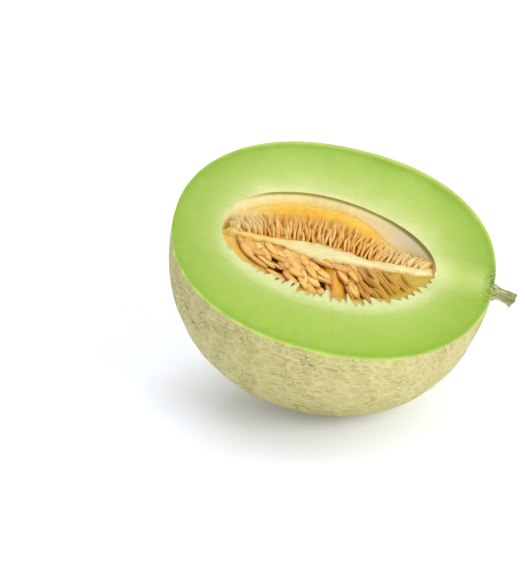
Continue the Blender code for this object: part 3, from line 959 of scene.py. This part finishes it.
def cut_colour(tree, place, across, fine):
    """The cut flesh: a bright line at the rind, deep green under it, paling to cream at the cavity."""
    along, aside = part_of(tree, place, 0), part_of(tree, place, 1)
    far_along, far_aside = sums(tree, "ABSOLUTE", along), sums(tree, "ABSOLUTE", aside)
    share = ragged(tree, ragged(tree, across, clouds(tree, place, 55.0, 3.0), 0.40), fine, 0.14)
    flesh = ramp(
        tree, share,
        (0.00, (134, 174, 34)), (0.12, (152, 190, 54)), (0.36, (171, 201, 82)),
        (0.62, (184, 208, 102)), (0.86, (204, 217, 130)), (1.00, (224, 229, 160)),
    )
    torn = span(tree, ragged(tree, across, clouds(tree, place, 300.0), 0.14), 0.80, 1.00)
    strand = times(tree, span(tree, along, 0.036, 0.046), span(tree, far_aside, 0.013, 0.002))
    turn = sums(tree, "ARCTAN2", aside, along)
    rays = add(tree, "ShaderNodeCombineXYZ", {
        "X": times(tree, sums(tree, "COSINE", turn), 9.0),
        "Y": times(tree, sums(tree, "SINE", turn), 9.0),
        "Z": times(tree, across, 1.3),
    }).outputs["Vector"]
    fibres = clouds(tree, rays, 1.9, 4.0, 0.6)
    green_line = times(tree, span(tree, across, 0.17, 0.10), span(tree, across, 0.05, 0.08))
    return stains(
        tree, flesh,
        (span(tree, aside, 0.015, -0.045), 0.55, (152, 188, 38)),
        (span(tree, far_along, 0.036, 0.062), 0.50, (142, 178, 42)),
        (times(tree, torn, span(tree, aside, -0.008, -0.022)), 0.66, (228, 233, 172)),
        (strand, 0.50, (212, 224, 130)),
        (times(tree, strand, span(tree, along, 0.058, 0.046)), 0.75, (228, 232, 162)),
        (span(tree, fibres, 0.50, 0.70), 0.07, (222, 232, 150)),
        (span(tree, fibres, 0.46, 0.30), 0.05, (140, 176, 44)),
        (green_line, 0.38, (130, 174, 26)),
        (span(tree, across, 0.078, 0.030), 0.85, (206, 216, 112)),
    )


def wall_colour(tree, place, depth):
    """The cavity's wall: cream, paler to near white towards the stem end as painted light, stained amber just
    above the gel, with an olive line under the far rim that is its own green darkened as painted shade.
    """
    along = part_of(tree, place, 0)
    downward = clouds(tree, stretched(tree, place, (1.0, 1.0, 0.2)), 420.0, 3.0)
    # The olive line under the far rim is the wall's own green just below the cut, darkened there as painted
    # shade.
    line_end = sums(tree, "MULTIPLY_ADD", span(tree, along, 0.016, 0.044), 0.0014, 0.0017)
    line = span(tree, sums(tree, "SUBTRACT", depth, line_end), 0.0009, -0.0004)
    line = times(tree, line, span(tree, part_of(tree, place, 1), 0.000, 0.008))
    line = times(tree, line, span(tree, along, -0.046, -0.034))
    stained = span(tree, ragged(tree, share_of(tree, "by_gel"), downward, 0.9), 0.20, 1.05)
    return stains(
        tree, ramp(tree, downward, (0.35, (244, 243, 196)), (0.65, (236, 234, 178))),
        # Painted light: towards the stem end the wall is drawn to near white, against the shade that falls on
        # it there.
        (span(tree, along, -0.005, 0.025), 1.0, (254, 255, 234)),
        (line, 0.9, (140, 148, 56)),
        (stained, 0.80, (250, 218, 122)),
    )


def flesh_finish():
    """Moist flesh on the cut and in the cavity, speckled dark green by the stem."""
    material, tree, shader = new_finish("green_flesh")
    place = fruit_place(tree)
    fine = clouds(tree, place, 420.0, 3.0, 0.6)
    depth = times(tree, part_of(tree, place, 2), -1.0)
    cut = cut_colour(tree, place, share_of(tree, "across"), fine)
    colour = blend(tree, span(tree, depth, 0.00025, 0.00060), cut, wall_colour(tree, place, depth))
    far_aside = sums(tree, "ABSOLUTE", part_of(tree, place, 1))
    at_stem = span(tree, part_of(tree, place, 0), 0.0675, 0.0720)
    at_stem = times(tree, at_stem, span(tree, far_aside, 0.016, 0.007))
    speckle = span(tree, clouds(tree, place, 560.0, 3.0, 0.6), 0.42, 0.60)
    colour = stains(tree, colour, (at_stem, 0.45, (140, 168, 56)), (at_stem, speckle, (92, 112, 30)))
    set_surface(tree, shader, colour, 0.38)
    let_light_in(shader, 0.25, (0.9, 1.0, 0.35), 0.004)
    relief(tree, shader, fine, 0.0004, 0.5)
    return material


def wet_pulp(name, gel_colour):
    """A wet gel whose colour a function of the node tree, the place and the gel's lumps gives."""
    material, tree, shader = new_finish(name)
    place = fruit_place(tree)
    lumps = clouds(tree, place, 240.0, 3.0)
    set_surface(tree, shader, gel_colour(tree, place, lumps), 0.20)
    let_light_in(shader, 0.20, (1.0, 0.6, 0.15), 0.002)
    relief(tree, shader, lumps, 0.0006, 0.6)
    return material


def far_pulp_finish():
    """Bright amber, paler at the wall and along the core, paling to cream at both ends."""
    def colour(tree, place, lumps):
        along, aside = part_of(tree, place, 0), part_of(tree, place, 1)
        gel = ramp(
            tree, ragged(tree, share_of(tree, "rimward"), lumps, 0.7),
            (0.10, (222, 160, 56)), (0.32, (236, 172, 48)), (0.54, (244, 186, 54)),
            (0.78, (248, 202, 78)), (1.00, (250, 218, 122)),
        )
        ends = sums(tree, "MAXIMUM", span(tree, along, 0.016, 0.028), span(tree, along, -0.030, -0.040))
        blossom_core = times(tree, span(tree, along, -0.024, -0.036), span(tree, aside, 0.001, -0.004))
        return stains(
            tree, gel,
            (span(tree, aside, 0.006, -0.002), 0.8, (228, 184, 112)),
            (ends, 0.75, (234, 220, 160)),
            (blossom_core, 0.9, (238, 190, 84)),
        )
    return wet_pulp("far_pulp", colour)


def near_pulp_finish():
    """Amber gel with painted shade, dark brown between the seeds; clearer in one patch, paler at the rim,
    yellow-olive towards the stem.
    """
    def colour(tree, place, lumps):
        along, aside = part_of(tree, place, 0), part_of(tree, place, 1)
        # The dark browns of this ramp are painted shade in the gaps between the seeds, over the gel's own
        # amber; the patch, the rim and the ends keep the gel lighter.
        gel = ramp(tree, lumps, (0.30, (96, 54, 10)), (0.52, (150, 94, 20)), (0.72, (206, 142, 40)))
        leaning = sums(tree, "MULTIPLY_ADD", aside, GEL_PATCH_LEAN, along)
        from_patch = sums(tree, "ABSOLUTE", sums(tree, "SUBTRACT", leaning, GEL_PATCH))
        rimward = share_of(tree, "rimward")
        return stains(
            tree, gel,
            (span(tree, from_patch, 0.0045, 0.0020), 0.88, (236, 170, 38)),
            (span(tree, aside, -0.018, -0.011), 0.75, (226, 176, 90)),
            (span(tree, rimward, 0.38, 0.60), 0.85, (208, 156, 48)),
            (span(tree, sums(tree, "MULTIPLY_ADD", lumps, 0.25, rimward), 0.84, 1.12), 0.9, (204, 208, 112)),
            (span(tree, along, -0.030, -0.040), 0.85, (230, 184, 66)),
            (span(tree, along, 0.014, 0.034), 0.8, (196, 172, 56)),
        )
    return wet_pulp("near_pulp", colour)


def core_finish():
    """Cream tissue, fibrous along the fruit, turning orange at its edges and towards the blossom end."""
    material, tree, shader = new_finish("cream_core")
    place = fruit_place(tree)
    fibres = clouds(tree, stretched(tree, place, (0.2, 1.0, 1.0)), 700.0, 3.0)
    edge = ragged(tree, share_of(tree, "edge"), clouds(tree, place, 190.0), 1.1)
    colour = stains(
        tree, ramp(tree, fibres, (0.30, (224, 206, 130)), (0.60, (236, 229, 172))),
        (span(tree, edge, 0.55, 1.05), 0.75, (226, 176, 88)),
        (span(tree, part_of(tree, place, 0), -0.012, -0.034), 0.85, (236, 196, 98)),
    )
    set_surface(tree, shader, colour, 0.35)
    let_light_in(shader, 0.3, (1.0, 0.8, 0.4), 0.003)
    relief(tree, shader, fibres, 0.0004, 0.6)
    return material


def seed_finish(name, coats, crevice, margin_share, by_rim, rim_share, at_ends, ends):
    """Wet seed coats, each a little different, darker at their margins, and with painted shade where they
    sink below the pulp's top.
    """
    material, tree, shader = new_finish(name)
    place = fruit_place(tree)
    along = part_of(tree, place, 0)
    brown = span(tree, clouds(tree, place, 420.0, 3.0), 0.45, 0.75)
    colour = stains(
        tree, ramp(tree, share_of(tree, "tint"), *zip((0.0, 0.5, 1.0), coats)),
        (brown, 0.5, (190, 122, 44)),
        (span(tree, share_of(tree, "rimward"), 0.20, 0.60), rim_share, by_rim),
        *((span(tree, along, start, end), 0.8, at_ends) for start, end in ends),
        (span(tree, share_of(tree, "margin"), 0.62, 0.98), margin_share, crevice),
        # Painted shade: where a seed sinks below the pulp's top it takes the crevice colour; on the far seeds
        # this is also the gel's own amber over them.
        (share_of(tree, "sunk_shade"), 0.85, crevice),
    )
    set_surface(tree, shader, colour, 0.28)
    let_light_in(shader, 0.10, (1.0, 0.6, 0.3), 0.0015)
    return material


def far_seed_finish():
    return seed_finish(
        "far_seed_coat", coats=((232, 176, 74), (244, 198, 100), (252, 220, 142)),
        crevice=(216, 146, 48), margin_share=0.25, by_rim=(246, 192, 78), rim_share=0.7,
        at_ends=(242, 222, 164), ends=((0.016, 0.032), (-0.030, -0.040)),
    )


def near_seed_finish():
    # Near seeds: a dark brown crevice colour, painted shade where they sink in; on their margins it is partly
    # the seed's own darker edge and partly painted shade.
    return seed_finish(
        "near_seed_coat", coats=((228, 170, 80), (246, 196, 102), (254, 216, 130)),
        crevice=(146, 86, 20), margin_share=0.50, by_rim=(236, 180, 76), rim_share=0.3,
        at_ends=(224, 184, 70), ends=((0.008, 0.034),),
    )


def stem_finish():
    """Dry grey-green stalk, streaked along its length, with a dark end."""
    material, tree, shader = new_finish("dry_stem")
    place = fruit_place(tree)
    fibres = clouds(tree, stretched(tree, place, (0.25, 1.0, 1.0)), 900.0, 3.0)
    stalk = ramp(tree, fibres, (0.30, (100, 100, 58)), (0.50, (158, 158, 104)), (0.68, (196, 196, 132)))
    tip = span(tree, part_of(tree, place, 0), HALF_LENGTH + 0.006, HALF_LENGTH + 0.010)
    set_surface(tree, shader, stains(tree, stalk, (tip, 0.45, (110, 108, 78))), 0.7)
    relief(tree, shader, fibres, 0.0005)
    return material


# The studio

def floor():
    """A pale floor that glows a little, least under the fruit."""
    piece = start_from(bpy.ops.mesh.primitive_plane_add, "floor", size=FLOOR_SIZE)
    material, tree, shader = new_finish("pale_floor")
    shader.inputs["Base Color"].default_value = FLOOR_COLOUR
    shader.inputs["Roughness"].default_value = 0.30
    shader.inputs["Emission Color"].default_value = FLOOR_GLOW_COLOUR
    place = add(tree, "ShaderNodeTexCoord").outputs["Object"]
    lit = span(tree, far_from(tree, place, SHADE_MIDDLE), SHADE_START, SHADE_END)
    glow = sums(tree, "MULTIPLY_ADD", lit, FLOOR_GLOW_MORE, FLOOR_GLOW_IN_SHADE)
    tree.links.new(glow, shader.inputs["Emission Strength"])
    piece.data.materials.append(material)


def soft_light(name, place, size, power):
    """A round light, turned to the fruit."""
    light = start_from(bpy.ops.object.light_add, name, type="AREA", location=place)
    light.data.shape = "DISK"
    light.data.size = size
    light.data.energy = power
    light.rotation_euler = (-Vector(place)).to_track_quat("-Z", "Y").to_euler()


def studio():
    floor()
    soft_light("light_above", *LIGHT_ABOVE)
    soft_light("light_front", *LIGHT_FRONT)
    world = bpy.data.worlds.new("pale_room")
    bpy.context.scene.world = world
    world.use_nodes = True
    world.node_tree.nodes["Background"].inputs["Color"].default_value = (1.0, 1.0, 1.0, 1.0)
    world.node_tree.nodes["Background"].inputs["Strength"].default_value = ROOM_LIGHT
    bpy.context.scene.view_settings.view_transform = "Standard"


def camera():
    """The photograph's view: the middle of the cut face falls on its own pixel."""
    middle = FRUIT.to_translation()
    back = Vector((
        math.sin(CAMERA_AZIMUTH) * math.cos(CAMERA_ELEVATION),
        -math.cos(CAMERA_AZIMUTH) * math.cos(CAMERA_ELEVATION),
        math.sin(CAMERA_ELEVATION),
    ))
    made = start_from(bpy.ops.object.camera_add, "camera", location=middle + back * CAMERA_DISTANCE)
    focal_pixels = PIXELS_PER_METRE * CAMERA_DISTANCE
    made.data.sensor_width = SENSOR
    made.data.lens = focal_pixels * SENSOR / max(PHOTO_SIZE)
    right = (FACE_MIDDLE_PIXEL[0] - 0.5 * PHOTO_SIZE[0]) / focal_pixels
    up = (0.5 * PHOTO_SIZE[1] - FACE_MIDDLE_PIXEL[1]) / focal_pixels
    turn = (-back).to_track_quat("-Z", "Y")
    sight = turn @ Vector((-right, -up, -1.0))
    made.rotation_euler = sight.to_track_quat("-Z", "Y").to_euler()
    made.data.clip_start, made.data.clip_end = CLIP
    bpy.context.scene.camera = made


def main():
    camera()
    studio()
    muskmelon_half()
    core()
    form = seed_form()
    for name, far, node_name, places, thickness, coat in (
        ("far", True, "seed_bed_far", seed_places_far(), FAR_SEED_THINNESS, far_seed_finish()),
        ("near", False, "seed_bed_near", seed_places_near(), 1.0, near_seed_finish()),
    ):
        pulp = pulp_side("pulp_" + name, far)
        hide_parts(node_name)
        seat(pulp)
        piece = seeds("seeds_" + name, places, form, thickness, coat)
        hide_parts(node_name)
    bpy.data.objects.remove(form)
    stem()


main()
